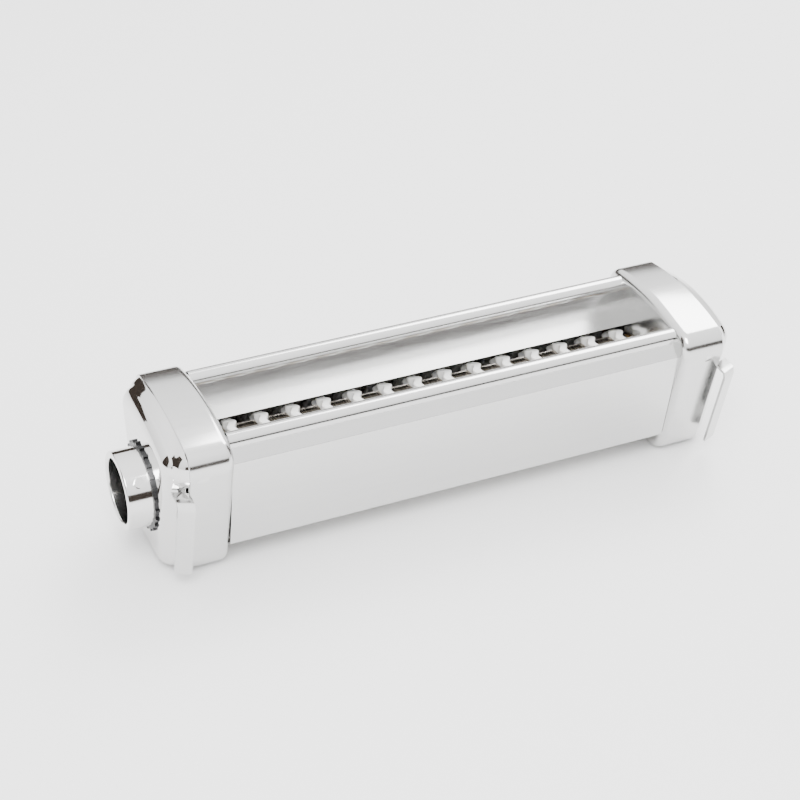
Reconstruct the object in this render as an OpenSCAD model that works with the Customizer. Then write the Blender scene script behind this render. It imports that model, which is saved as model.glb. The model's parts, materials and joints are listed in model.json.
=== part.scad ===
// Noodle-cutting roller head of a bench pasta machine: two sheet-steel side plates tied
// together by rods, a hopper with rolled rails, two meshing rollers that carry steel
// sleeves and wavy nylon discs, a gear train behind the left cover and a drive sleeve.
// The rollers run along X, the front is -Y, and the feet of the side plates stand on Z = 0.

/* [Body] */
// Clear length between the two side plates
inner_length = 224; // [224:1:260]
// Width of a side plate across its shoulders
body_width = 76; // [72:0.5:84]
// Height of a side plate at its crown
body_height = 79; // [77:0.5:84]
// Depth of a side plate's rim along X
rim_depth = 11.5; // [11:0.5:12.5]
// Sheet thickness of the side plates
plate_t = 1.5; // [1.2:0.1:2]
// Rounding of a side plate's inner edge
plate_round = 4; // [2.5:0.5:5]
// Sheet thickness of the panels, hoppers and covers
sheet_t = 1.2; // [1:0.1:1.3]

/* [End covers] */
// Reach of the left cover beyond the inner face of its side plate
left_reach = 31; // [31:0.5:35]
// Reach of the right cover beyond the inner face of its side plate
right_reach = 30; // [28:0.5:34]
// Rounding of a cover between its end face and its sides
cover_round = 11; // [8:0.5:11.5]
// Gap between a side plate's rim and its cover
cover_gap = 1; // [0.5:0.1:1.5]

/* [Rollers] */
// Distance between the two roller axes
roller_pitch = 24; // [24:0.5:25]
// Height of the roller axes above the feet
roller_z = 38; // [37:0.5:39]
// Radius of a steel sleeve on a roller
sleeve_r = 10.3; // [9.5:0.1:10.3]
// Radius of a wavy disc on a roller
disc_r = 13.3; // [12.5:0.1:13.3]
// Width of a wavy disc at its rim
disc_w = 4; // [3:0.5:4.5]
// Number of wavy discs on each roller
disc_count = 14; // [6:1:14]
// Radius of a roller shaft at its journals
journal_r = 5; // [4:0.5:5]

/* [Drive] */
// Outer radius of the drive sleeve
socket_r = 18.4; // [17:0.1:19]
// Bore radius of the drive sleeve
socket_bore_r = 15; // [14:0.1:15.5]
// Reach of the drive sleeve beyond the left cover
socket_reach = 12.5; // [10:0.5:20]

/* [Hidden] */

fit_gap = 0.05;
half_length = inner_length / 2;
roller_y = roller_pitch / 2;

// Where the whole machine sits over the origin: the middle of its box in X and Y
sleeve_end = half_length + left_reach + socket_reach;
right_end = half_length + right_reach;
tongue_stand = 8;
tongue_top = 54;
tongue_h = 46;
tongue_w = 8;
tongue_back = 2.5;
tongue_lean = 12;
seat_x = (sleeve_end - right_end) / 2;
seat_y = (tongue_stand - tongue_back) / 2;

// Outline of a side plate in (Y, Z): a foot arc, a shoulder arc and a crown arc a side
foot_r = 12;
foot_y = 14.5;
shoulder_r = 10;
shoulder_y = body_width / 2 - shoulder_r;
shoulder_z = 66;
side_form = [foot_y, foot_r, foot_r, shoulder_y, shoulder_z, shoulder_r, body_height];

// Outlines of a cover: the body behind the tongues, and the hood over the shoulders
recess = 4;
cover_form = [foot_y - 2, foot_r, foot_r - 0.5, shoulder_y - recess, shoulder_z - 1, shoulder_r, body_height - 0.4];
hood_form = [shoulder_y, shoulder_z - 2, shoulder_r, shoulder_y, shoulder_z, shoulder_r, body_height - 0.2];
hood_short = 4;

// Hopper rails
rail_y = 25.5;
rail_z = body_height - 8.2;
rail_r = 4.25;
rod_r = 3;
crease_y = body_width / 2 - 4.5;
crease_z = 64;
panel_foot_y = 26.5;
panel_foot_z = 13.2;
throat_y = 14;
throat_z = 54;

// Lower tie rods and combs
low_rod_y = 19.8;
low_rod_z = 18;
comb_r = 4;

// Wavy discs and sleeves between them
disc_pitch = (inner_length - 5.6) / 14;
waves = 10;
wave_rise = 1;
disc_bore = 8;
rear_first = -half_length + 15.5;
front_first = rear_first - disc_pitch / 2;

// Gear train, in planes counted outwards from the left side plate
gear_teeth = 20;
gear_mod = roller_pitch / gear_teeth;
gear_x = half_length + 3;
gear_w = 7;
bracket_x = gear_x + gear_w + 1.5;
bracket_t = 2;
pinion_teeth = 11;
reduction_teeth = 15;
pinion_mod = roller_pitch / (pinion_teeth + reduction_teeth);
pinion_x = bracket_x + bracket_t + 1;
pinion_w = 5;
input_r = 3;
stub_r = 4;
dog_r = 6;

steel = [0.80, 0.80, 0.80];
chrome = [0.86, 0.86, 0.87];
nylon = [0.93, 0.92, 0.89];
bronze = [0.72, 0.53, 0.30];
dark = [0.35, 0.35, 0.36];

module seat() translate([seat_x, seat_y, 0]) children();

// Stands a drawing made in (Y, Z) at x, thick along +X
module across(x, thick) translate([x, 0, 0]) rotate([90, 0, 90]) linear_extrude(thick) children();
// Lays a shape drawn along +Z along +X from x
module along(x, y, z) translate([x, y, z]) rotate([0, 90, 0]) children();
module at_end(side) mirror([side < 0 ? 1 : 0, 0, 0]) children();
module at_face(face) mirror([0, face > 0 ? 1 : 0, 0]) children();

function arc(cy, cz, r, a0, a1, n) =
    [for (i = [0:n]) let (a = a0 + (a1 - a0) * i / n) [cy + r * cos(a), cz + r * sin(a)]];

// Half of an outline, from the foot's middle to the crown, set in by d
function half_outline(f, d, n) = let (
    dy = f[3] - f[0], dz = f[4] - f[1],
    side_a = atan2(dz, dy) - acos((f[2] - f[5]) / norm([dy, dz])),
    h = f[6] - f[5] - f[4],
    u = (f[3] * f[3] - h * h) / (2 * h),
    crown_r = u + h + f[5],
    top_a = atan2(u, f[3]))
    concat(arc(f[0], f[1], f[2] - d, -90, side_a, n),
           arc(f[3], f[4], f[5] - d, side_a, top_a, n),
           arc(0, f[6] - crown_r, crown_r - d, top_a + (90 - top_a) / 3, 90, 2));
function outline(f, d = 0, n = 6) = let (half = half_outline(f, d, n), last = len(half) - 1)
    concat(half, [for (i = [last - 1:-1:0]) [-half[i][0], half[i][1]]]);

// Closed solid through equal rings, each a list of points
module loft(rings) {
    n = len(rings[0]);
    m = len(rings);
    polyhedron(
        points = [for (ring = rings) for (p = ring) p],
        faces = concat(
            [[for (i = [0:n - 1]) i]],
            [for (k = [0:m - 2]) for (i = [0:n - 1]) let (j = (i + 1) % n)
                [k * n + i, (k + 1) * n + i, (k + 1) * n + j, k * n + j]],
            [[for (i = [n - 1:-1:0]) (m - 1) * n + i]]));
}
function ring_at(x, points) = [for (p = points) [x, p[0], p[1]]];

// Distance from c to a convex outline along angle a
function reach(points, c, a) = min([for (i = [0:len(points) - 1]) let (
    e = points[(i + 1) % len(points)] - points[i],
    out = [e[1], -e[0]],
    facing = out * [cos(a), sin(a)])
    if (facing > 0.000001) (out * (points[i] - c)) / facing]);
// How far a rounded end has drawn in at x, where r is its radius and x1 its end face
function drawn_in(x, x1, r) = x <= x1 - r ? 0 : x >= x1 ? r : r - sqrt(r * r - pow(x - x1 + r, 2));
// Section of a cover at x: the larger of its body and its hood, seen from a point in the hood
hub = [0, 60];
hub_angles = concat([for (a = [-90:9:-27]) a], [for (a = [-20:2.5:-5]) a], [for (a = [0:10:90]) a]);
ring_angles = concat(hub_angles, [for (i = [len(hub_angles) - 2:-1:1]) 180 - hub_angles[i]]);
function cover_ring(x, x1, r, d) = let (
    body = outline(cover_form, d + 0.8 * drawn_in(x, x1, r), 6),
    hood_end = x1 - hood_short,
    hood = outline(hood_form, d + 0.75 * drawn_in(x, hood_end, r), 6))
    [for (a = ring_angles) let (
        far = x < hood_end ? max(reach(body, hub, a), reach(hood, hub, a)) : reach(body, hub, a))
        [x, hub[0] + far * cos(a), hub[1] + far * sin(a)]];
// Cup-shaped shell: down the inside from its end wall to the rim, and back up the outside
function stations(x0, x1, r) = concat([x0], [for (k = [0:8]) x1 - r + r * sin(90 * k / 8)]);
module cover_shell(x0, x1) {
    inner = stations(x0, x1 - sheet_t, cover_round - sheet_t);
    outer = stations(x0, x1, cover_round);
    loft(concat(
        [for (i = [len(inner) - 1:-1:0]) cover_ring(inner[i], x1 - sheet_t, cover_round - sheet_t, sheet_t)],
        [for (x = outer) cover_ring(x, x1, cover_round, 0)]));
}

// ---- Side plates ----
module tongue() {
    // Bent strip that stands off the rim and hooks over the machine's guide
    root = [half_length + rim_depth + 2.7, -body_width / 2 + tongue_back, tongue_top];
    translate([root[0], root[1] - tongue_stand, root[2]]) rotate([tongue_lean, 0, 0]) {
        translate([0, 0, -tongue_h]) rotate([0, 0, 30]) cube([tongue_w, plate_t, tongue_h]);
        translate([-4, 1, -4]) rotate([-tongue_lean, 0, 0]) cube([2, tongue_stand + 0.5, 4]);
        translate([-4, 0.3, -4]) cube([5, plate_t, 4]);
    }
}
module pan() {
    inner = stations_back(half_length + plate_t, half_length + rim_depth, plate_round - plate_t);
    outer = stations_back(half_length, half_length + rim_depth, plate_round);
    loft(concat(
        [for (i = [0:len(outer) - 1]) ring_at(outer[i][0], outline(side_form, outer[i][1]))],
        [for (i = [len(inner) - 1:-1:0]) ring_at(inner[i][0], outline(side_form, plate_t + inner[i][1]))]));
}
// Stations [x, inset] from a pan's flat face at x0, round its edge and out to its rim at x1
function stations_back(x0, x1, r) = concat(
    [for (k = [0:6]) [x0 + r - r * cos(15 * k), r - r * sin(15 * k)]], [[x1, 0]]);
module side_plate(side) seat() color(steel) at_end(side) {
    difference() {
        union() {
            pan();
            tongue();
        }
        for (y = [-roller_y, roller_y]) along(half_length - 1, y, roller_z)
            cylinder(r = journal_r + 3, h = plate_t + 2, $fn = 48);
        for (y = [-1, 1]) {
            along(half_length - 1, y * rail_y, rail_z) cylinder(r = rod_r, h = plate_t + 2, $fn = 32);
            along(half_length - 1, y * low_rod_y, low_rod_z) cylinder(r = rod_r, h = plate_t + 2, $fn = 32);
        }
    }
}
module left_side_plate() side_plate(-1);
module right_side_plate() side_plate(1);

// ---- Panels: a flat sheet from the crease to the foot, hemmed inwards ----
module panel(face) seat() color(steel) at_face(face) across(-half_length, inner_length) polygon([
    [-crease_y, crease_z], [-panel_foot_y, panel_foot_z], [-panel_foot_y + 4, panel_foot_z],
    [-panel_foot_y + 4, panel_foot_z + sheet_t], [-panel_foot_y + sheet_t, panel_foot_z + sheet_t],
    [-crease_y + sheet_t, crease_z]]);
module front_panel() panel(-1);
module rear_panel() panel(1);

// ---- Hoppers: a rolled rail, a strip down to the crease and a wall down to the throat ----
module hopper(face) seat() color(steel) at_face(face) difference() {
    across(-half_length, inner_length) polygon(concat(
        [[-crease_y, crease_z + 0.1]],
        arc(-rail_y, rail_z, rail_r, 195, -15, 24),
        [[-throat_y, throat_z], [-throat_y - sheet_t, throat_z]],
        arc(-rail_y, rail_z, rail_r, -38, -142, 8),
        [[-crease_y + sheet_t, crease_z + 0.1]]));
    across(-half_length - 1, inner_length + 2) translate([-rail_y, rail_z])
        circle(r = rod_r + fit_gap, $fn = 48);
}
module front_hopper() hopper(-1);
module rear_hopper() hopper(1);

// ---- Tie rods and their nuts ----
nut_x = half_length + plate_t;
nut_h = 2.4;
nut_r = 4.6;
module tie_rod(y, z) seat() color(steel) along(-nut_x - nut_h - 0.5, y, z)
    cylinder(r = rod_r, h = 2 * (nut_x + nut_h + 0.5), $fn = 48);
module front_upper_tie_rod() tie_rod(-rail_y, rail_z);
module rear_upper_tie_rod() tie_rod(rail_y, rail_z);
module front_lower_tie_rod() tie_rod(-low_rod_y, low_rod_z);
module rear_lower_tie_rod() tie_rod(low_rod_y, low_rod_z);
module rod_nuts(side) seat() color(steel) at_end(side)
    for (y = [-1, 1]) for (p = [[rail_y, rail_z], [low_rod_y, low_rod_z]])
        difference() {
            along(nut_x, y * p[0], p[1]) difference() {
                cylinder(r = nut_r, h = nut_h, $fn = 6);
                translate([0, 0, -1]) cylinder(r = rod_r, h = nut_h + 2, $fn = 48);
            }
            pan();
        }
module left_tie_rod_nuts() rod_nuts(-1);
module right_tie_rod_nuts() rod_nuts(1);

// ---- Combs: a bar on a lower tie rod, with fingers up to the sleeves between the discs ----
finger_t = 6;
module comb(face, first) seat() color(nylon) at_face(face) difference() {
    union() {
        across(-half_length + 1, inner_length - 2) translate([-low_rod_y, low_rod_z]) circle(r = comb_r, $fn = 32);
        for (i = [0:disc_count - 2]) across(first + (i + 0.5) * disc_pitch - finger_t / 2, finger_t) polygon([
            [-low_rod_y - 3.2, low_rod_z + 1.5], [-low_rod_y + 3, low_rod_z + 1.5],
            [-roller_y - 3, roller_z - 9], [-roller_y - 8, roller_z - 5]]);
    }
    across(-half_length, inner_length) translate([-low_rod_y, low_rod_z]) circle(r = rod_r + fit_gap, $fn = 48);
    for (i = [0:disc_count - 2]) across(first + (i + 0.5) * disc_pitch - disc_pitch, 2 * disc_pitch)
        translate([-roller_y, roller_z]) circle(r = sleeve_r + 0.4, $fn = 96);
}
module front_comb() comb(-1, front_first);
module rear_comb() comb(1, rear_first);

// ---- Bushes ----
module bush_pair(side) seat() color(bronze) at_end(side) for (y = [-roller_y, roller_y]) difference() {
    union() {
        along(half_length, y, roller_z) cylinder(r = journal_r + 3, h = plate_t + 0.5, $fn = 64);
        along(half_length - 1, y, roller_z) cylinder(r = journal_r + 4.5, h = 1, $fn = 64);
    }
    along(half_length - 2, y, roller_z) cylinder(r = journal_r + fit_gap, h = plate_t + 4, $fn = 64);
}
module left_bushes() bush_pair(-1);
module right_bushes() bush_pair(1);

// ---- Gear bracket: a plate on pillars outside the roller gears ----
pillar_spots = [[0, 14], [-16, 62], [16, 62]];
shaft_hole_r = stub_r + 1;
module gear_bracket() seat() color(steel) at_end(-1) difference() {
    across(bracket_x, bracket_t) polygon([[-6, 8], [6, 8], [20, 26], [21, 58], [18, 67], [-18, 67], [-21, 58], [-20, 26]]);
    along(bracket_x - 1, 0, roller_z) cylinder(r = input_r + 2, h = bracket_t + 2, $fn = 48);
    along(bracket_x - 1, roller_y, roller_z) cylinder(r = shaft_hole_r, h = bracket_t + 2, $fn = 48);
    for (p = pillar_spots) along(bracket_x - 1, p[0], p[1]) cylinder(r = 1.5, h = bracket_t + 2, $fn = 24);
}
module bracket_pillars() seat() color(steel) at_end(-1) for (p = pillar_spots) difference() {
    along(half_length + plate_t, p[0], p[1]) cylinder(r = 3, h = bracket_x - half_length - plate_t, $fn = 6);
    along(bracket_x - 6, p[0], p[1]) cylinder(r = 1.5, h = 8, $fn = 24);
}
module bracket_screws() seat() color(steel) at_end(-1) for (p = pillar_spots) {
    along(bracket_x - 6, p[0], p[1]) cylinder(r = 1.5, h = 6 + bracket_t, $fn = 24);
    along(bracket_x + bracket_t, p[0], p[1]) cylinder(r = 2.7, h = 1.6, $fn = 24);
}
module input_bush() seat() color(bronze) at_end(-1) difference() {
    along(bracket_x, 0, roller_z) cylinder(r = input_r + 2, h = bracket_t, $fn = 48);
    along(bracket_x - 1, 0, roller_z) cylinder(r = input_r + fit_gap, h = bracket_t + 2, $fn = 48);
}

// ---- End covers ----
top_screw = [half_length + 19, 13];
module end_cover(side, reach) seat() color(chrome) at_end(side) difference() {
    cover_shell(half_length + rim_depth + cover_gap, half_length + reach);
    if (side < 0) along(half_length + reach - 3, 0, roller_z) cylinder(r = socket_r + 0.8, h = 6, $fn = 64);
    along(half_length + reach - 3, 22, 60) cylinder(r = 1.6, h = 6, $fn = 24);
    translate([top_screw[0], top_screw[1], body_height - 6]) cylinder(r = 1.6, h = 12, $fn = 24);
}
module left_end_cover() end_cover(-1, left_reach);
module right_end_cover() end_cover(1, right_reach);
module cover_screws(side, reach) seat() color(dark) at_end(side) {
    along(half_length + reach - 6, 22, 60) cylinder(r = 1.5, h = 5.4, $fn = 24);
    translate([top_screw[0], top_screw[1], body_height - 8]) cylinder(r = 1.5, h = 7.2, $fn = 24);
}
module left_cover_screws() cover_screws(-1, left_reach);
module right_cover_screws() cover_screws(1, right_reach);

// ---- Drive sleeve on the left cover ----
flange_x = half_length + left_reach - sheet_t - 2;
module drive_sleeve() seat() color(chrome) at_end(-1) difference() {
    union() {
        along(flange_x, 0, roller_z) cylinder(r = socket_r + 3, h = 2, $fn = 96);
        along(flange_x, 0, roller_z) cylinder(r = socket_r, h = sleeve_end - flange_x, $fn = 96);
    }
    along(flange_x - 1, 0, roller_z) cylinder(r = socket_bore_r, h = sleeve_end, $fn = 96);
}
module sleeve_lock_ring() seat() color(dark) at_end(-1) difference() {
    along(flange_x + 2 + sheet_t, 0, roller_z) union() {
        cylinder(r = socket_r + 1.6, h = 1.2, $fn = 64);
        for (a = [0:15:345]) rotate(a) translate([socket_r + 1.2, -0.8, 0]) cube([1.5, 1.6, 1.2]);
    }
    along(flange_x, 0, roller_z) cylinder(r = socket_r, h = 8, $fn = 64);
}
pin_a = 42;
module bayonet_pin() seat() color(chrome) at_end(-1) difference() {
    translate([sleeve_end - 6.5, 0, roller_z]) rotate([90 - pin_a, 0, 0])
        translate([0, 0, socket_r - 0.5]) cylinder(r = 2.4, h = 3.2, $fn = 32);
    along(flange_x, 0, roller_z) cylinder(r = socket_r, h = sleeve_end - flange_x, $fn = 96);
}

// ---- Rollers ----
// Ring whose two faces run in waves, so that a pair of them crimps the noodle's edge
module wavy_disc(x) {
    steps = waves * 4;
    function wave(i) = wave_rise * sin(360 * waves * i / steps);
    function spot(i, r, side) = [x + side * disc_w / 2 + wave(i),
        r * cos(360 * i / steps), r * sin(360 * i / steps)];
    difference() {
        polyhedron(
            points = concat(
                [for (i = [0:steps - 1]) spot(i, disc_r, -1)], [for (i = [0:steps - 1]) spot(i, disc_r, 1)],
                [[x - disc_w / 2, 0, 0], [x + disc_w / 2, 0, 0]]),
            faces = concat(
                [for (i = [0:steps - 1]) let (j = (i + 1) % steps) [i, steps + i, steps + j, j]],
                [for (i = [0:steps - 1]) let (j = (i + 1) % steps) [2 * steps, i, j]],
                [for (i = [0:steps - 1]) let (j = (i + 1) % steps) [2 * steps + 1, steps + j, steps + i]]));
        along(x - disc_w, 0, 0) cylinder(r = disc_bore, h = 2 * disc_w, $fn = 48);
    }
}
module on_roller(y) seat() translate([0, y, roller_z]) children();
module wave_discs(first) for (i = [0:disc_count - 1]) wavy_disc(first + i * disc_pitch);

// Sleeves fill the shaft's length between the discs and at its two ends
wave_clear = wave_rise + 0.1;
function sleeve_spans(first) = let (side = disc_w / 2 + wave_clear, ends = half_length - 1.2) concat(
    [[-ends, first - side]],
    [for (i = [0:disc_count - 2]) [first + i * disc_pitch + side, first + (i + 1) * disc_pitch - side]],
    [[first + (disc_count - 1) * disc_pitch + side, ends]]);
module roller_sleeves(first) for (s = sleeve_spans(first)) difference() {
    along(s[0], 0, 0) cylinder(r = sleeve_r, h = s[1] - s[0], $fn = 72);
    along(s[0] - 1, 0, 0) cylinder(r = disc_bore, h = s[1] - s[0] + 2, $fn = 48);
}
// Shaft: a thick core that carries the sleeves, with a journal through each bush
module roller_shaft(left_end) {
    core = half_length - 1.2;
    along(-core, 0, 0) cylinder(r = disc_bore, h = 2 * core, $fn = 48);
    along(-gear_x - gear_w, 0, 0) cylinder(r = journal_r, h = gear_x + gear_w + half_length + 5, $fn = 64);
    along(-left_end, 0, 0) cylinder(r = stub_r, h = left_end - core, $fn = 64);
}
module circlip(x, bore_r) along(x, 0, 0) difference() {
    cylinder(r = bore_r + 1.6, h = 0.8, $fn = 48);
    translate([0, 0, -1]) cylinder(r = bore_r, h = 3, $fn = 64);
    translate([0, -1, -1]) cube([20, 2, 4]);
}

// Spur gear with involute flanks, thinned by backlash so that a pair turns freely
function involute(base_r, a) = base_r * [cos(a) + a * PI / 180 * sin(a), sin(a) - a * PI / 180 * cos(a)];
module spur_gear(teeth, mod, wide, bore_r, phase) {
    pitch_r = teeth * mod / 2;
    base_r = pitch_r * cos(20);
    tip_r = pitch_r + 0.8 * mod;
    root_r = pitch_r - 1.2 * mod;
    tip_a = sqrt(pow(tip_r / base_r, 2) - 1) * 180 / PI;
    at_pitch = tan(20) * 180 / PI - 20;
    half_a = 90 / teeth - 6 / teeth + at_pitch;
    rotate(phase) difference() {
        linear_extrude(wide) union() {
            circle(r = root_r, $fn = 60);
            for (i = [0:teeth - 1]) rotate(360 * i / teeth) polygon(concat(
                [[root_r - 0.5, -base_r * sin(half_a)]],
                [for (k = [0:4]) let (p = involute(base_r, tip_a * k / 4))
                    [p[0] * cos(half_a) + p[1] * sin(half_a), -p[0] * sin(half_a) + p[1] * cos(half_a)]],
                [for (k = [4:-1:0]) let (p = involute(base_r, tip_a * k / 4))
                    [p[0] * cos(half_a) + p[1] * sin(half_a), p[0] * sin(half_a) - p[1] * cos(half_a)]],
                [[root_r - 0.5, base_r * sin(half_a)]]));
        }
        translate([0, 0, -1]) cylinder(r = bore_r, h = wide + 2, $fn = 64);
    }
}
// Places a gear drawn on Z so that its angle 0 points along +Y
module geared(x) translate([-x, 0, 0]) rotate([0, -90, 0]) rotate(90) children();

rear_left_end = pinion_x + pinion_w + 2;
front_left_end = gear_x + gear_w + 1;
module rear_roller_shaft() on_roller(roller_y) color(steel) roller_shaft(rear_left_end);
module rear_roller_sleeves() on_roller(roller_y) color(steel) roller_sleeves(rear_first);
module rear_wave_discs() on_roller(roller_y) color(nylon) wave_discs(rear_first);
module rear_roller_gear() on_roller(roller_y) color(dark)
    geared(gear_x) spur_gear(gear_teeth, gear_mod, gear_w, journal_r, 0);
module reduction_gear() on_roller(roller_y) color(dark)
    geared(pinion_x) spur_gear(reduction_teeth, pinion_mod, pinion_w, stub_r, 0);
module rear_roller_circlips() on_roller(roller_y) color(dark) {
    circlip(half_length + plate_t + 1, journal_r);
    circlip(-pinion_x - pinion_w - 1.2, stub_r);
}
module front_roller_shaft() on_roller(-roller_y) color(steel) roller_shaft(front_left_end);
module front_roller_sleeves() on_roller(-roller_y) color(steel) roller_sleeves(front_first);
module front_wave_discs() on_roller(-roller_y) color(nylon) wave_discs(front_first);
module front_roller_gear() on_roller(-roller_y) color(dark)
    geared(gear_x) spur_gear(gear_teeth, gear_mod, gear_w, journal_r, 180 / gear_teeth);
module front_roller_circlips() on_roller(-roller_y) color(dark) circlip(half_length + plate_t + 1, journal_r);

// ---- Input shaft: the drive sleeve's coupling turns it, and its pinion turns the rear roller ----
dog_x = pinion_x + pinion_w + 1;
dog_h = flange_x - dog_x - 0.2;
module input_shaft() on_roller(0) color(steel) {
    along(-dog_x, 0, 0) cylinder(r = input_r, h = dog_x - bracket_x + 1, $fn = 48);
    difference() {
        along(-dog_x - dog_h, 0, 0) cylinder(r = dog_r, h = dog_h, $fn = 48);
        translate([-dog_x - dog_h - 1, -10, -1.5]) cube([3, 20, 3]);
    }
}
module input_pinion() on_roller(0) color(dark)
    geared(pinion_x) spur_gear(pinion_teeth, pinion_mod, pinion_w, input_r, 0);

left_side_plate();
right_side_plate();
front_panel();
rear_panel();
front_hopper();
rear_hopper();
front_upper_tie_rod();
rear_upper_tie_rod();
front_lower_tie_rod();
rear_lower_tie_rod();
left_tie_rod_nuts();
right_tie_rod_nuts();
front_comb();
rear_comb();
left_bushes();
right_bushes();
gear_bracket();
bracket_pillars();
bracket_screws();
input_bush();
left_end_cover();
right_end_cover();
left_cover_screws();
right_cover_screws();
drive_sleeve();
sleeve_lock_ring();
bayonet_pin();
rear_roller_shaft();
rear_roller_sleeves();
rear_wave_discs();
rear_roller_gear();
reduction_gear();
rear_roller_circlips();
front_roller_shaft();
front_roller_sleeves();
front_wave_discs();
front_roller_gear();
front_roller_circlips();
input_shaft();
input_pinion();
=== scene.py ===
"""Looks of a noodle-cutting roller head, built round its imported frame."""
import json
import math

import bpy
import numpy as np
from bpy.props import FloatProperty, FloatVectorProperty, IntProperty, PointerProperty
from mathutils import Matrix, Vector


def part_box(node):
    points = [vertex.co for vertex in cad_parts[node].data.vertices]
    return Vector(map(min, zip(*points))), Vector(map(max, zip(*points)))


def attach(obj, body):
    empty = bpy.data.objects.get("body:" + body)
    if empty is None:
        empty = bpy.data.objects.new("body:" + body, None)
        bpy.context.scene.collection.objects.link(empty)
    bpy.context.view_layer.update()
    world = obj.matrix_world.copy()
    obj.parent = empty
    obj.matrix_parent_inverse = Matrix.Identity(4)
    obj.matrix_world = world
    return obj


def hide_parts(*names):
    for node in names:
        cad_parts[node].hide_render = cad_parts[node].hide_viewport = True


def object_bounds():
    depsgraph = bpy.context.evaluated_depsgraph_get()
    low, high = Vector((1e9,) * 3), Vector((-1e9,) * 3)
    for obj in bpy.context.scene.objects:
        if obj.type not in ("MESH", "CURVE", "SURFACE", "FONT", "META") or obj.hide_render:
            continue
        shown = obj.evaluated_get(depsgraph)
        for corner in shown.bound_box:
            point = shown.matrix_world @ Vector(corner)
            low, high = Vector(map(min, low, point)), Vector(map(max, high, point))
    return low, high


bl_info = {
    "name": "Noodle Cutting Roller Head",
    "version": (1, 0, 0),
    "blender": (4, 5, 0),
    "location": "View3D > Sidebar > Roller Head",
    "description": "Builds the pressed shells, rollers and studio of a noodle cutting roller head",
    "category": "Add Mesh",
}

MM = 0.001
SIDES = ((-1, "left"), (1, "right"))
SHARP_ANGLE = math.radians(38)

# Hopper and panel, as distances from the head's middle plane and heights above the floor
CREASE = (33.5 * MM, 64 * MM)
CREASE_LAP = 0.1 * MM
THROAT = (14 * MM, 54 * MM)
RAIL_Y, RAIL_DROP, RAIL_R = 25.5 * MM, 8.2 * MM, 4.25 * MM
PANEL_FOOT, PANEL_BEND, PANEL_LIP = (26.5 * MM, 13.2 * MM), 1.8 * MM, 4 * MM

# Side plates and covers
FOOT_Y, FOOT_R, SHOULDER_R, SHOULDER_Z = 14.5 * MM, 12 * MM, 10 * MM, 66 * MM
CREASE_TO_SIDE = 4.5 * MM
PLATE_TO_SHEET = 1.25
WEB_INSET = 6 * MM
COVER_HUB_Z = 60 * MM
HOOD_SHORT = 4 * MM
BODY_TAPER, HOOD_TAPER = 0.8, 0.75
FACE_SHARES = (0.03, 0.12, 0.4, 0.8, 1)
CLOSED_HOLE_R = 2 * MM

# Tongues
TONGUE_T, TONGUE_W, TONGUE_H, TONGUE_TOP = 1.5 * MM, 8 * MM, 46 * MM, 54 * MM
TONGUE_STAND, TONGUE_BACK = 8 * MM, 2.5 * MM
TONGUE_LEAN, TONGUE_TURN = math.radians(12), math.radians(30)

# Wavy discs and drive sleeve
DISC_W, DISC_RISE, DISC_COUNT, DISC_WAVES, DISC_BORE = 4 * MM, 1 * MM, 14, 10, 8.05 * MM
DISC_EDGE, DISC_TURNS = 0.6 * MM, 200
SLEEVE_FLANGE, SLEEVE_BORE, SLEEVE_LIP, SLEEVE_TURNS = 3 * MM, 15 * MM, 0.9 * MM, 256

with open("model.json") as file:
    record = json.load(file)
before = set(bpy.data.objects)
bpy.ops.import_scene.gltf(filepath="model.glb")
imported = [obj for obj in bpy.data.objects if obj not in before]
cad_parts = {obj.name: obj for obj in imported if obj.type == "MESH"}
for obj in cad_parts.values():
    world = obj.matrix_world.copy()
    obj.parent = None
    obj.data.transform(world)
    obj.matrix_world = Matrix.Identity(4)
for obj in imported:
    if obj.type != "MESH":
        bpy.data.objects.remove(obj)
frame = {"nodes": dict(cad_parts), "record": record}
CAD_BOX = [list(corner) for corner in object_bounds()]


def span(node, axis):
    """Lowest and highest value of a CAD node along one axis, in metres."""
    low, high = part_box(node)
    return low[axis], high[axis]


HOPPER_X = span("front_hopper", 0)
MID_X = sum(HOPPER_X) / 2
MID_Y = (span("front_hopper", 1)[0] + span("rear_hopper", 1)[1]) / 2
CROWN_Z = span("left_side_plate", 2)[1]
HALF_WIDTH = span("rear_panel", 1)[1] - MID_Y + CREASE_TO_SIDE
ROLLER_Z = sum(span("rear_roller_sleeves", 2)) / 2
SOCKET_HOLE = (span("drive_sleeve", 2)[1] - span("drive_sleeve", 2)[0]) / 2 - 2.9 * MM


def near_and_far(node):
    """Distances from the head's middle to the near and far ends of a node along X."""
    low, high = span(node, 0)
    return sorted((abs(low - MID_X), abs(high - MID_X)))


# ---- Sizes and colours a user may change ----
class HeadSizes(bpy.types.PropertyGroup):
    """Sizes of the pressed shells."""

    sheet: FloatProperty(
        name="Sheet", description="Thickness of the pressed sheet", default=1.2 * MM, unit="LENGTH")
    plate_round: FloatProperty(
        name="Plate rounding", description="Rounding of a side plate's inner edge", default=4 * MM,
        unit="LENGTH")
    cover_round: FloatProperty(
        name="Cover rounding", description="Rounding of a cover into its end face", default=11 * MM,
        unit="LENGTH")
    ledge_blend: FloatProperty(
        name="Ledge blend", description="Softness of the ledge under a cover's hood", default=0.9 * MM,
        unit="LENGTH")
    around: IntProperty(name="Around", description="Points around a shell's section", default=240, min=48)


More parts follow.
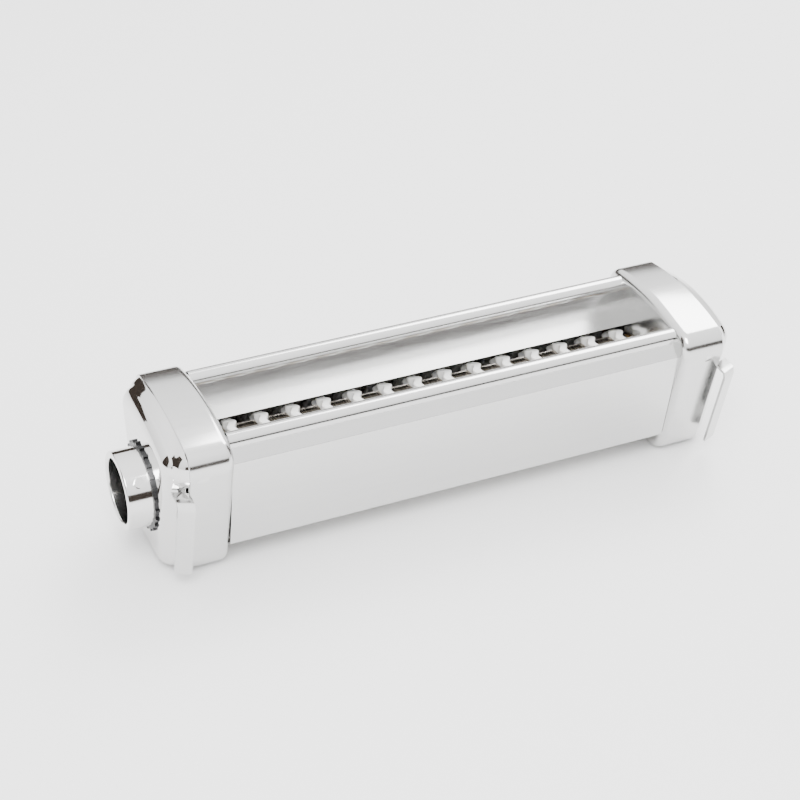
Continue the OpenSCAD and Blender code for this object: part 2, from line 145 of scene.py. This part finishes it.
class HeadColours(bpy.types.PropertyGroup):
    """Colours of the head's finishes."""

    chrome: FloatVectorProperty(
        name="Chrome", description="Plated covers", default=(0.72, 0.715, 0.71), subtype="COLOR", size=3)
    sheet: FloatVectorProperty(
        name="Sheet steel", description="Polished sheet", default=(0.66, 0.66, 0.655), subtype="COLOR", size=3)
    roller: FloatVectorProperty(
        name="Roller steel", description="Turned sleeves", default=(0.45, 0.41, 0.36), subtype="COLOR", size=3)
    nylon: FloatVectorProperty(
        name="Nylon", description="Wavy discs and combs", default=(0.80, 0.80, 0.78), subtype="COLOR", size=3)
    bronze: FloatVectorProperty(
        name="Bronze", description="Bushes", default=(0.55, 0.36, 0.17), subtype="COLOR", size=3)
    zinc: FloatVectorProperty(
        name="Zinc", description="Rods, nuts and brackets", default=(0.55, 0.56, 0.57), subtype="COLOR", size=3)
    gear: FloatVectorProperty(
        name="Gear steel", description="Oiled gears", default=(0.20, 0.20, 0.205), subtype="COLOR", size=3)


# ---- Mesh helpers ----
def new_piece(name, points, faces, material, body, replaces):
    """Puts points and faces into a smooth mesh object that rides on a body."""
    mesh = bpy.data.meshes.new(name)
    mesh.from_pydata(points.reshape(-1, 3).tolist(), [], faces)
    mesh.polygons.foreach_set("use_smooth", [True] * len(mesh.polygons))
    mesh.set_sharp_from_angle(angle=SHARP_ANGLE)
    mesh.materials.append(material)
    piece = bpy.data.objects.new(name, mesh)
    bpy.context.scene.collection.objects.link(piece)
    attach(piece, body)
    for node in replaces:
        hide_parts(node)
    return piece


def grid_faces(rows, columns, first=0, wrap_rows=False):
    """Quads of a grid whose columns wrap, and whose rows may wrap too."""
    row = np.arange(rows if wrap_rows else rows - 1)[:, None]
    column = np.arange(columns)[None, :]
    row_next = (row + 1) % rows
    column_next = (column + 1) % columns
    quads = np.stack([row * columns + column, row_next * columns + column,
                      row_next * columns + column_next, row * columns + column_next], axis=-1)
    return (quads.reshape(-1, 4) + first).tolist()


def end_caps(rows, columns):
    """The first and last ring of a grid, each as one face."""
    return [list(range(columns)), list(range((rows - 1) * columns, rows * columns))]


def facing_out(piece):
    """Turns every face of a closed mesh outwards by the sign of its volume, and raises if it has none."""
    mesh = piece.data
    mesh.calc_loop_triangles()
    corners = np.empty(len(mesh.loop_triangles) * 3, dtype=np.int32)
    mesh.loop_triangles.foreach_get("vertices", corners)
    places = np.empty(len(mesh.vertices) * 3)
    mesh.vertices.foreach_get("co", places)
    places = places.reshape(-1, 3)
    tri = places[corners.reshape(-1, 3)]
    volume = np.einsum("ij,ij->i", tri[:, 0], np.cross(tri[:, 1], tri[:, 2])).sum()
    if volume == 0:
        raise RuntimeError(f"{piece.name} came out with no volume")
    if volume < 0:
        mesh.flip_normals()


# ---- Outlines of the shells in (Y, Z) ----
def arc(centre, radius, start, end, count):
    """Points on a circle's arc: centre plus radius times the cosine and sine of an even run of angles."""
    angle = np.radians(np.linspace(start, end, count))
    return np.stack([centre[0] + radius * np.cos(angle), centre[1] + radius * np.sin(angle)], axis=-1)


def shell_outline(form, inset, count=24):
    """Foot arc, shoulder arc and crown arc, tangent to each other, mirrored to a closed convex outline."""
    foot_y, foot_z, foot_r, shoulder_y, shoulder_z, shoulder_r, crown_z = form
    rise = (shoulder_y - foot_y, shoulder_z - foot_z)
    side = math.degrees(math.atan2(rise[1], rise[0]))
    side -= math.degrees(math.acos((foot_r - shoulder_r) / math.hypot(*rise)))
    height = crown_z - shoulder_r - shoulder_z
    drop = (shoulder_y ** 2 - height ** 2) / (2 * height)
    crown_r = drop + height + shoulder_r
    top = math.degrees(math.atan2(drop, shoulder_y))
    half = np.concatenate([
        arc((foot_y, foot_z), foot_r - inset, -90, side, count),
        arc((shoulder_y, shoulder_z), shoulder_r - inset, side, top, count),
        arc((0, crown_z - crown_r), crown_r - inset, top, 90, count)[1:]])
    return np.concatenate([half, half[-2::-1] * [-1, 1]])


def even_ring(points, count):
    """Resamples a closed outline at even steps of its own length."""
    closed = np.concatenate([points, points[:1]])
    length = np.concatenate([[0], np.cumsum(np.linalg.norm(np.diff(closed, axis=0), axis=1))])
    at = np.linspace(0, length[-1], count, endpoint=False)
    return np.stack([np.interp(at, length, closed[:, i]) for i in (0, 1)], axis=-1)


def reach(points, hub, angle):
    """Distance from hub to a convex outline along each angle: the least of its edges' distances."""
    edge = np.roll(points, -1, axis=0) - points
    keep = np.linalg.norm(edge, axis=1) > 1e-7
    out = np.stack([edge[keep, 1], -edge[keep, 0]], axis=-1)
    facing = out @ np.stack([np.cos(angle), np.sin(angle)])
    depth = np.einsum("ij,ij->i", out, points[keep] - hub)[:, None]
    return np.min(np.where(facing > 1e-9, depth / np.maximum(facing, 1e-9), 1e9), axis=0)


def forms():
    """Outlines of the side plate, a cover's body and its hood, as in the CAD."""
    shoulder_y = HALF_WIDTH - SHOULDER_R
    side = (FOOT_Y, FOOT_R, FOOT_R, shoulder_y, SHOULDER_Z, SHOULDER_R, CROWN_Z)
    body = (FOOT_Y - 2 * MM, FOOT_R, FOOT_R - 0.5 * MM, shoulder_y - 4 * MM, SHOULDER_Z - MM, SHOULDER_R,
            CROWN_Z - 0.4 * MM)
    hood = (shoulder_y, SHOULDER_Z - 2 * MM, SHOULDER_R, shoulder_y, SHOULDER_Z, SHOULDER_R,
            CROWN_Z - 0.2 * MM)
    return side, body, hood


def place(side, away, section):
    """Points of a section at a distance away from the head's middle, on the side asked for."""
    x = np.full(len(section), MID_X + side * away)
    return np.column_stack([x, section[:, 0] + MID_Y, section[:, 1]])


# ---- Materials ----
def coordinates(nodes, links, scale):
    """Object coordinates scaled along each axis, so that a pattern can be drawn out into lines."""
    source = nodes.new("ShaderNodeTexCoord")
    mapping = nodes.new("ShaderNodeMapping")
    mapping.inputs["Scale"].default_value = scale
    links.new(source.outputs["Object"], mapping.inputs["Vector"])
    return mapping.outputs["Vector"]


def finish_group():
    """Node group: a noise along given coordinates turned into a roughness, a tint and a height."""
    group = bpy.data.node_groups.new("MetalFinish", "ShaderNodeTree")
    group.interface.new_socket("Vector", in_out="INPUT", socket_type="NodeSocketVector")
    for label, start in (("Noise Scale", 40.0), ("Low", 0.1), ("High", 0.2)):
        group.interface.new_socket(label, in_out="INPUT", socket_type="NodeSocketFloat").default_value = start
    tint = group.interface.new_socket("Tint", in_out="INPUT", socket_type="NodeSocketColor")
    tint.default_value = (0.8, 0.8, 0.8, 1)
    group.interface.new_socket("Roughness", in_out="OUTPUT", socket_type="NodeSocketFloat")
    group.interface.new_socket("Color", in_out="OUTPUT", socket_type="NodeSocketColor")
    group.interface.new_socket("Height", in_out="OUTPUT", socket_type="NodeSocketFloat")
    nodes, links = group.nodes, group.links
    taken, given = nodes.new("NodeGroupInput"), nodes.new("NodeGroupOutput")
    noise = nodes.new("ShaderNodeTexNoise")
    noise.inputs["Detail"].default_value = 4.0
    links.new(taken.outputs["Vector"], noise.inputs["Vector"])
    links.new(taken.outputs["Noise Scale"], noise.inputs["Scale"])
    rough = nodes.new("ShaderNodeMapRange")
    rough.inputs["From Min"].default_value = 0.3
    rough.inputs["From Max"].default_value = 0.7
    links.new(noise.outputs["Fac"], rough.inputs["Value"])
    links.new(taken.outputs["Low"], rough.inputs["To Min"])
    links.new(taken.outputs["High"], rough.inputs["To Max"])
    shade = nodes.new("ShaderNodeMapRange")
    shade.inputs["To Min"].default_value = 0.93
    shade.inputs["To Max"].default_value = 1.0
    links.new(noise.outputs["Fac"], shade.inputs["Value"])
    colour = nodes.new("ShaderNodeVectorMath")
    colour.operation = "SCALE"
    links.new(taken.outputs["Tint"], colour.inputs[0])
    links.new(shade.outputs["Result"], colour.inputs["Scale"])
    links.new(rough.outputs["Result"], given.inputs["Roughness"])
    links.new(colour.outputs["Vector"], given.inputs["Color"])
    links.new(noise.outputs["Fac"], given.inputs["Height"])
    return group


def solid(name, tint, low, high, scale, noise, metallic, bump, coat=0.0, through=0.0):
    """Material whose roughness and tint follow the finish group, on a Principled surface."""
    made = bpy.data.materials.new(f"{name}_finish")
    made.use_nodes = True
    nodes, links = made.node_tree.nodes, made.node_tree.links
    surface = nodes["Principled BSDF"]
    finish = nodes.new("ShaderNodeGroup")
    finish.node_tree = bpy.data.node_groups["MetalFinish"]
    finish.inputs["Noise Scale"].default_value = noise
    finish.inputs["Low"].default_value = low
    finish.inputs["High"].default_value = high
    finish.inputs["Tint"].default_value = (*tint, 1.0)
    links.new(coordinates(nodes, links, scale), finish.inputs["Vector"])
    links.new(finish.outputs["Color"], surface.inputs["Base Color"])
    links.new(finish.outputs["Roughness"], surface.inputs["Roughness"])
    relief = nodes.new("ShaderNodeBump")
    relief.inputs["Strength"].default_value = bump
    relief.inputs["Distance"].default_value = 0.0001
    links.new(finish.outputs["Height"], relief.inputs["Height"])
    links.new(relief.outputs["Normal"], surface.inputs["Normal"])
    surface.inputs["Metallic"].default_value = metallic
    surface.inputs["Coat Weight"].default_value = coat
    surface.inputs["Subsurface Weight"].default_value = through
    surface.inputs["Subsurface Radius"].default_value = (0.004, 0.004, 0.0035)
    return made


# ---- Section shells: side plates and end covers ----
def sweep_sections(sections, side):
    """Stacks rings of equal count along X into a closed skin, with a cap on the first and last ring."""
    count = len(sections[0][1])
    rings = np.stack([place(side, away, ring) for away, ring in sections])
    return rings, grid_faces(len(rings), count) + end_caps(len(rings), count)


def plate_section(side_form, count, away, inset):
    """Side-plate outline pulled in by an inset and spread at even steps."""
    return away, even_ring(shell_outline(side_form, inset), count)


def drawn_in(away, end, radius):
    """How far a section has been pulled in where a shell rounds into its end face: a circle's sagitta."""
    into = np.clip(away - (end - radius), 0, radius)
    return radius - math.sqrt(max(radius * radius - into * into, 0))


def cover_section(body, hood, hub, angle, away, end, radius, inset, blend):
    """Softened greater of two reaches from the hub: the cover's body and its shorter hood.

    The soft maximum adds a quarter of the blend, faded with the square of the gap between the two reaches.
    """
    low = reach(shell_outline(body, inset + BODY_TAPER * drawn_in(away, end, radius)), hub, angle)
    short = end - HOOD_SHORT
    if away < short - 0.01 * MM:
        high = reach(shell_outline(hood, inset + HOOD_TAPER * drawn_in(away, short, radius)), hub, angle)
        gap = np.clip(blend - np.abs(low - high), 0, None)
        out = np.maximum(low, high) + gap * gap / (4 * blend) - blend / 4
    else:
        out = low
    return np.stack([hub[0] + out * np.cos(angle), hub[1] + out * np.sin(angle)], axis=-1)


class HEAD_OT_side_plates(bpy.types.Operator):
    """Pressed side plates: a web that rounds into a rim, as rings of an offset outline stacked along X"""

    bl_idname = "head.side_plates"
    bl_label = "Side Plates"

    def execute(self, context):
        sizes = context.scene.head_sizes
        side_form = forms()[0]
        for side, word in SIDES:
            node, name = f"{word}_side_plate", f"{word}_plate_skin"
            near, far = near_and_far(node)
            turn = np.linspace(0, math.pi / 2, 13)
            r, t = sizes.plate_round, sizes.sheet * PLATE_TO_SHEET
            outside = [plate_section(side_form, sizes.around, near, inset)
                       for inset in (0.75 * r + WEB_INSET, r)]
            outside += [plate_section(side_form, sizes.around, near + r - r * math.cos(a), r - r * math.sin(a))
                        for a in turn[1:]]
            outside += [plate_section(side_form, sizes.around, far - 0.25 * MM, 0),
                        plate_section(side_form, sizes.around, far, 0.2 * MM)]
            inner = max(r - t, 0.5 * MM)
            inside = [plate_section(side_form, sizes.around, far, t),
                      plate_section(side_form, sizes.around, near + r, t)]
            inside += [plate_section(side_form, sizes.around, near + r - inner * math.cos(a),
                                     r - inner * math.sin(a)) for a in turn[::-1][1:]]
            inside += [plate_section(side_form, sizes.around, near + t, r + WEB_INSET)]
            points, faces = sweep_sections(outside + inside, side)
            facing_out(new_piece(name, points, faces, bpy.data.materials["polished_sheet_finish"], "frame",
                                 [node]))
        return {"FINISHED"}


def hole_ring(angle, radius):
    """A circle round the drive's axis: radius times the cosine and sine of the given angles."""
    return np.stack([radius * np.cos(angle), ROLLER_Z + radius * np.sin(angle)], axis=-1)


def mix(one, other, share):
    """A ring part of the way from one ring to another, point by point."""
    return one + (other - one) * share


def strip(points, thickness, low, high):
    """A strip that follows points in (Y, Z) with a set thickness, carried from low to high along X.

    Each side is the run of points moved half the thickness along its own normal.
    """
    run = np.gradient(points, axis=0)
    normal = np.stack([-run[:, 1], run[:, 0]], axis=-1) / np.linalg.norm(run, axis=1)[:, None]
    ring = np.concatenate([points + normal * thickness / 2, (points - normal * thickness / 2)[::-1]])
    rings = np.stack([np.column_stack([np.full(len(ring), x), ring]) for x in (low, high)])
    count = len(ring)
    return rings, grid_faces(2, count) + end_caps(2, count)


class HEAD_OT_tongues(bpy.types.Operator):
    """Tongues: bent strips that stand off the side plates' front rims, turned outwards in plan"""

    bl_idname = "head.tongues"
    bl_label = "Tongues"

    def execute(self, context):
        front = CAD_BOX[0][1] + 0.15 * MM - MID_Y
        root_y, half_t = -HALF_WIDTH + TONGUE_BACK, TONGUE_T / 2
        for side, word in SIDES:
            node, name = f"{word}_side_plate", f"{word}_tongue_strip"
            far = near_and_far(node)[1]
            out = root_y - TONGUE_STAND + half_t
            depth = np.linspace(0, TONGUE_H, 24)
            blade = np.stack([out + depth * math.sin(TONGUE_LEAN),
                              TONGUE_TOP - depth * math.cos(TONGUE_LEAN)], axis=-1)
            blade[:, 0] = np.maximum(blade[:, 0], front + half_t)
            back = np.linspace(root_y + 1.2 * MM, out + 1.2 * MM, 6)
            hook = np.stack([back, np.full(6, TONGUE_TOP + 0.6 * MM)], axis=-1)
            run = np.concatenate([hook, blade[1:]])
            width = TONGUE_W * math.cos(TONGUE_TURN)
            points, faces = strip(run, TONGUE_T, -0.2 * width, 0.8 * width)
            points[..., 1] += np.clip(points[..., 0], 0, None) * math.tan(TONGUE_TURN)
            points[..., 0] = MID_X + side * (points[..., 0] + far + 1.2 * MM)
            points[..., 1] += MID_Y
            facing_out(new_piece(name, points, faces, bpy.data.materials["polished_sheet_finish"], "frame",
                                 [node]))
        return {"FINISHED"}


class HEAD_OT_end_covers(bpy.types.Operator):
    """End covers: a cup whose section is the softened greater of a body and a shorter hood"""

    bl_idname = "head.end_covers"
    bl_label = "End Covers"

    def execute(self, context):
        sizes = context.scene.head_sizes
        body, hood = forms()[1:]
        hub = np.array([0.0, COVER_HUB_Z])
        angle = np.linspace(0, 2 * math.pi, sizes.around * 2, endpoint=False)
        for side, word in SIDES:
            node, name = f"{word}_end_cover", f"{word}_cover_skin"
            start, end = near_and_far(node)
            radius = sizes.cover_round
            bend = end - radius * (1 - np.sin(np.linspace(0, math.pi / 2, 30)))

            def ring(away, inset, last=end, curve=radius):
                """One section of the cover, thinner by the inset."""
                return away, cover_section(body, hood, hub, angle, away, last, curve, inset, sizes.ledge_blend)

            deep = end - sizes.sheet
            outside = [ring(a, 0.05 * MM) for a in (start, start + 2 * MM, end - radius - 2 * MM, *bend)]
            inside = [ring(a, sizes.sheet, deep, radius - sizes.sheet) for a in
                      (start, start + 2 * MM, deep - radius, *(bend - sizes.sheet))]
            hole = hole_ring(angle, SOCKET_HOLE if side < 0 else CLOSED_HOLE_R)
            face = [(end, mix(outside[-1][1], hole, share)) for share in FACE_SHARES]
            skin = [(deep, mix(inside[-1][1], hole, share)) for share in FACE_SHARES]
            stack = outside + face + skin[::-1] + inside[::-1]
            points = np.stack([place(side, away, section) for away, section in stack])
            faces = grid_faces(len(points), len(angle), wrap_rows=True)
            facing_out(new_piece(name, points, faces, bpy.data.materials["cover_chrome_finish"], "frame",
                                 [node]))
        return {"FINISHED"}


# ---- Bent sheets: hoppers and panels ----
def sweep_profile(outline, low, high):
    """A closed (Y, Z) outline carried from low to high along X, closed at both ends."""
    rings = np.stack([np.column_stack([np.full(len(outline), x), outline[:, 0] + MID_Y, outline[:, 1]])
                      for x in np.linspace(low, high, 5)])
    count = len(outline)
    return rings, grid_faces(len(rings), count) + end_caps(len(rings), count)


def hopper_outline(sheet):
    """Crease, strip, rolled rail by one arc, wall down to the throat, and back by a smaller arc under the rail."""
    rail = (-RAIL_Y, CROWN_Z - RAIL_DROP)
    edge_y, edge_z = -CREASE[0], CREASE[1] + CREASE_LAP
    return np.concatenate([
        np.array([[edge_y, edge_z]]), arc(rail, RAIL_R, 195, -15, 72),
        np.array([[-THROAT[0], THROAT[1]], [-THROAT[0] - sheet, THROAT[1]]]), arc(rail, RAIL_R, -38, -142, 24),
        np.array([[edge_y + sheet, edge_z]])])


def panel_outline(sheet):
    """Panel from the crease down to a foot that turns under by a quarter arc and ends in a short lip."""
    foot_y, foot_z = -PANEL_FOOT[0], PANEL_FOOT[1]
    centre = (foot_y + PANEL_BEND, foot_z + PANEL_BEND)
    return np.concatenate([
        np.array([[-CREASE[0], CREASE[1]]]), arc(centre, PANEL_BEND, 188, 270, 10),
        np.array([[foot_y + PANEL_LIP, foot_z], [foot_y + PANEL_LIP, foot_z + sheet]]),
        arc(centre, PANEL_BEND - sheet, 270, 188, 6), np.array([[-CREASE[0] + sheet, CREASE[1]]])])


class HEAD_OT_bent_sheets(bpy.types.Operator):
    """Hoppers and panels: bent profiles carried along the head"""

    bl_idname = "head.bent_sheets"
    bl_label = "Bent Sheets"

    def execute(self, context):
        sheet = context.scene.head_sizes.sheet
        for face, place_name in ((1, "front"), (-1, "rear")):
            for kind, outline in (("hopper", hopper_outline(sheet)), ("panel", panel_outline(sheet))):
                low, high = span(f"{place_name}_{kind}", 0)
                points, faces = sweep_profile(outline * [face, 1], low, high)
                facing_out(new_piece(f"{place_name}_{kind}_skin", points, faces,
                                     bpy.data.materials["polished_sheet_finish"], "frame",
                                     [f"{place_name}_{kind}"]))
        return {"FINISHED"}


# ---- Turned and moulded pieces ----
def revolve(profile, count):
    """Rings of a closed profile of (X, radius) turned about the X axis."""
    turn = np.linspace(0, 2 * math.pi, count, endpoint=False)
    x = np.repeat(profile[:, :1], count, axis=1)
    return np.stack([x, profile[:, 1:] * np.cos(turn), profile[:, 1:] * np.sin(turn)], axis=-1)


def rounded_box(low_x, high_x, low_r, high_r, edge, count=6):
    """Closed profile of a ring whose four corners are quarter arcs."""
    corners = (((high_x - edge, high_r - edge), 0), ((low_x + edge, high_r - edge), 90),
               ((low_x + edge, low_r + edge), 180), ((high_x - edge, low_r + edge), 270))
    return np.concatenate([arc(centre, edge, start, start + 90, count) for centre, start in corners])


class HEAD_OT_wave_discs(bpy.types.Operator):
    """Wavy discs: rounded rings pushed along X by a sine of ten times the angle, growing with the radius"""

    bl_idname = "head.wave_discs"
    bl_label = "Wavy Discs"

    def execute(self, context):
        for place_name in ("rear", "front"):
            node = f"{place_name}_wave_discs"
            low, high = span(node, 0)
            middle = sum(span(node, 1)) / 2
            radius = (span(node, 2)[1] - span(node, 2)[0]) / 2
            pitch = (high - low - DISC_W - 2 * DISC_RISE) / (DISC_COUNT - 1)
            ring = revolve(rounded_box(-DISC_W / 2, DISC_W / 2, DISC_BORE, radius, DISC_EDGE), DISC_TURNS)
            turn = np.arctan2(ring[..., 2], ring[..., 1])
            far = np.hypot(ring[..., 1], ring[..., 2]) / radius
            ring[..., 0] += DISC_RISE * far * np.sin(DISC_WAVES * turn)
            starts = low + DISC_W / 2 + DISC_RISE + pitch * np.arange(DISC_COUNT)
            all_rings = np.stack([ring + [x, middle, ROLLER_Z] for x in starts])
            size = ring.shape[0] * ring.shape[1]
            faces = [quad for i in range(DISC_COUNT)
                     for quad in grid_faces(ring.shape[0], DISC_TURNS, i * size, wrap_rows=True)]
            facing_out(new_piece(f"{place_name}_disc_rings", all_rings, faces, bpy.data.materials["nylon_finish"],
                                 f"{place_name}_roller", [node]))
        return {"FINISHED"}


class HEAD_OT_drive_sleeve(bpy.types.Operator):
    """Drive sleeve: a turned profile with a flange, a groove and a softly rounded mouth"""

    bl_idname = "head.drive_sleeve"
    bl_label = "Drive Sleeve"

    def execute(self, context):
        mouth, base = span("drive_sleeve", 0)
        flange = (span("drive_sleeve", 2)[1] - span("drive_sleeve", 2)[0]) / 2
        outer = flange - SLEEVE_FLANGE
        profile = np.concatenate([
            arc((mouth + SLEEVE_LIP, outer - SLEEVE_LIP), SLEEVE_LIP, 90, 180, 10),
            arc((mouth + SLEEVE_LIP, SLEEVE_BORE + SLEEVE_LIP), SLEEVE_LIP, 180, 270, 10),
            np.array([[base, SLEEVE_BORE], [base, flange]]),
            arc((base - 1.6 * MM, flange - 0.4 * MM), 0.4 * MM, 90, 180, 6),
            arc((base - 2.5 * MM, outer + 0.5 * MM), 0.5 * MM, 0, -90, 6)])
        points = revolve(profile, SLEEVE_TURNS) + [0, MID_Y, ROLLER_Z]
        faces = grid_faces(len(profile), SLEEVE_TURNS, wrap_rows=True)
        facing_out(new_piece("drive_sleeve_turned", points, faces, bpy.data.materials["socket_chrome_finish"], "frame",
                             ["drive_sleeve"]))
        return {"FINISHED"}


class HEAD_OT_finishes(bpy.types.Operator):
    """Materials, one for each of the record's slots, set on every CAD node"""

    bl_idname = "head.finishes"
    bl_label = "Finishes"

    def execute(self, context):
        colours = context.scene.head_colours
        finish_group()
        solid("polished_sheet", colours.sheet, 0.15, 0.19, (1, 14, 14), 30, 1.0, 0.006)
        solid("cover_chrome", colours.chrome, 0.045, 0.075, (1, 1, 1), 9, 1.0, 0.02)
        solid("socket_chrome", colours.chrome, 0.07, 0.12, (1, 1, 1), 14, 1.0, 0.02)
        solid("roller_steel", colours.roller, 0.18, 0.32, (40, 1, 1), 60, 1.0, 0.12)
        solid("zinc_steel", colours.zinc, 0.28, 0.42, (1, 1, 1), 120, 1.0, 0.08)
        solid("gear_steel", colours.gear, 0.25, 0.45, (1, 1, 1), 90, 1.0, 0.08)
        solid("dark_steel", tuple(0.3 * part for part in colours.gear), 0.3, 0.5, (1, 1, 1), 90, 1.0, 0.08)
        solid("nylon", colours.nylon, 0.32, 0.45, (1, 1, 1), 70, 0.0, 0.04, 0.15, 0.35)
        solid("bronze", colours.bronze, 0.3, 0.5, (1, 1, 1), 160, 1.0, 0.1)
        for part in frame["record"]["subparts"]:
            node = frame["nodes"][part["node"]]
            for slot in node.material_slots:
                slot.material = bpy.data.materials[part["material_slot"] + "_finish"]
        return {"FINISHED"}


# ---- Studio ----
def flat_material(name, tint, roughness, glow=0.0):
    """A plain material for the studio."""
    made = bpy.data.materials.new(name)
    made.use_nodes = True
    surface = made.node_tree.nodes["Principled BSDF"]
    surface.inputs["Base Color"].default_value = (*tint, 1.0)
    surface.inputs["Roughness"].default_value = roughness
    surface.inputs["Specular IOR Level"].default_value = 0.2
    surface.inputs["Emission Color"].default_value = (1, 1, 1, 1)
    surface.inputs["Emission Strength"].default_value = glow
    return made


def card(name, centre, facing, width, height, material):
    """A flat rectangle that faces a direction."""
    mesh = bpy.data.meshes.new(name)
    w, h = width / 2, height / 2
    mesh.from_pydata([(-w, -h, 0), (w, -h, 0), (w, h, 0), (-w, h, 0)], [], [(0, 1, 2, 3)])
    mesh.materials.append(material)
    made = bpy.data.objects.new(name, mesh)
    bpy.context.scene.collection.objects.link(made)
    made.location = centre
    made.rotation_mode = "QUATERNION"
    made.rotation_quaternion = Vector(facing).to_track_quat("Z", "Y")
    return made


def lamp(name, place_at, aim, power, width, height):
    """A soft rectangular lamp aimed at a point."""
    data = bpy.data.lights.new(name, "AREA")
    data.shape, data.size, data.size_y, data.energy = "RECTANGLE", width, height, power
    made = bpy.data.objects.new(name, data)
    bpy.context.scene.collection.objects.link(made)
    made.location = place_at
    made.rotation_mode = "QUATERNION"
    made.rotation_quaternion = (Vector(aim) - Vector(place_at)).to_track_quat("-Z", "Y")


def studio_air():
    """A plain white world, a little dimmer towards the horizon."""
    world = bpy.data.worlds.new("studio_air")
    world.use_nodes = True
    nodes, links = world.node_tree.nodes, world.node_tree.links
    source = nodes.new("ShaderNodeTexCoord")
    parts = nodes.new("ShaderNodeSeparateXYZ")
    lift = nodes.new("ShaderNodeMapRange")
    lift.inputs["To Min"].default_value = 2.0
    lift.inputs["To Max"].default_value = 3.0
    links.new(source.outputs["Generated"], parts.inputs["Vector"])
    links.new(parts.outputs["Z"], lift.inputs["Value"])
    links.new(lift.outputs["Result"], nodes["Background"].inputs["Strength"])
    nodes["Background"].inputs["Color"].default_value = (1, 1, 1, 1)
    return world


class HEAD_OT_studio(bpy.types.Operator):
    """Pale floor, soft lamps, dark cards for the chrome to mirror, and the camera"""

    bl_idname = "head.studio"
    bl_label = "Studio"

    def execute(self, context):
        card("floor", (0, 0, 0), (0, 0, 1), 40, 40, flat_material("floor_white", (0.93, 0.93, 0.93), 0.8))
        dark = flat_material("card_dark", (0.022, 0.016, 0.012), 0.9)
        for name, centre, facing, width, height in (
                ("card_front", (0, -1.15, 0.24), (0, 1, 0), 2.2, 0.40),
                ("card_back", (0, 1.15, 0.25), (0, -1, 0), 2.2, 0.40),
                ("card_left", (-1.15, 0, 0.40), (1, 0, 0), 0.70, 1.6),
                ("card_right", (1.15, 0, 0.30), (-1, 0, 0), 0.50, 1.6)):
            card(name, centre, facing, width, height, dark).visible_camera = False
        lamp("key", (-0.5, -0.9, 1.5), (0, 0, 0.03), 34, 0.8, 0.8)
        lamp("fill", (0.9, 0.7, 1.4), (0, 0, 0.03), 26, 0.9, 0.9)
        context.scene.world = studio_air()
        data = bpy.data.cameras.new("camera")
        data.lens, data.sensor_width, data.clip_start = 88.875, 36, 0.05
        made = bpy.data.objects.new("camera", data)
        context.scene.collection.objects.link(made)
        right = np.array([0.9128, -0.4075, 0.0254])
        forward = np.array([0.3467, 0.7405, -0.5756])
        forward /= np.linalg.norm(forward)
        right -= forward * right.dot(forward)
        right /= np.linalg.norm(right)
        up = np.cross(right, forward)
        turn = np.eye(4)
        turn[:3, 0], turn[:3, 1], turn[:3, 2], turn[:3, 3] = right, up, -forward, (-0.33025, -0.67975, 0.582)
        made.matrix_world = Matrix(turn.tolist())
        context.scene.camera = made
        return {"FINISHED"}


# ---- Panel, registration and run ----
STEPS = (HEAD_OT_finishes, HEAD_OT_side_plates, HEAD_OT_tongues, HEAD_OT_end_covers, HEAD_OT_bent_sheets,
         HEAD_OT_wave_discs, HEAD_OT_drive_sleeve, HEAD_OT_studio)


class HEAD_PT_panel(bpy.types.Panel):
    """Sidebar panel with the head's sizes, colours and steps"""

    bl_idname = "HEAD_PT_panel"
    bl_label = "Roller Head"
    bl_space_type = "VIEW_3D"
    bl_region_type = "UI"
    bl_category = "Roller Head"

    def draw(self, context):
        for group in (context.scene.head_sizes, context.scene.head_colours):
            for name in group.__annotations__:
                self.layout.prop(group, name)
        for step in STEPS:
            self.layout.operator(step.bl_idname)


CLASSES = (HeadSizes, HeadColours, *STEPS, HEAD_PT_panel)


def register():
    """Registers the classes and hangs the settings on the scene."""
    for kind in CLASSES:
        bpy.utils.register_class(kind)
    bpy.types.Scene.head_sizes = PointerProperty(type=HeadSizes)
    bpy.types.Scene.head_colours = PointerProperty(type=HeadColours)


def unregister():
    """Takes the settings and the classes away again."""
    del bpy.types.Scene.head_colours, bpy.types.Scene.head_sizes
    for kind in reversed(CLASSES):
        bpy.utils.unregister_class(kind)


def main():
    """Builds every piece and the studio."""
    register()
    bpy.ops.head.finishes()
    bpy.ops.head.side_plates()
    bpy.ops.head.tongues()
    bpy.ops.head.end_covers()
    bpy.ops.head.bent_sheets()
    bpy.ops.head.wave_discs()
    bpy.ops.head.drive_sleeve()
    bpy.ops.head.studio()


if __name__ == "__main__":
    main()
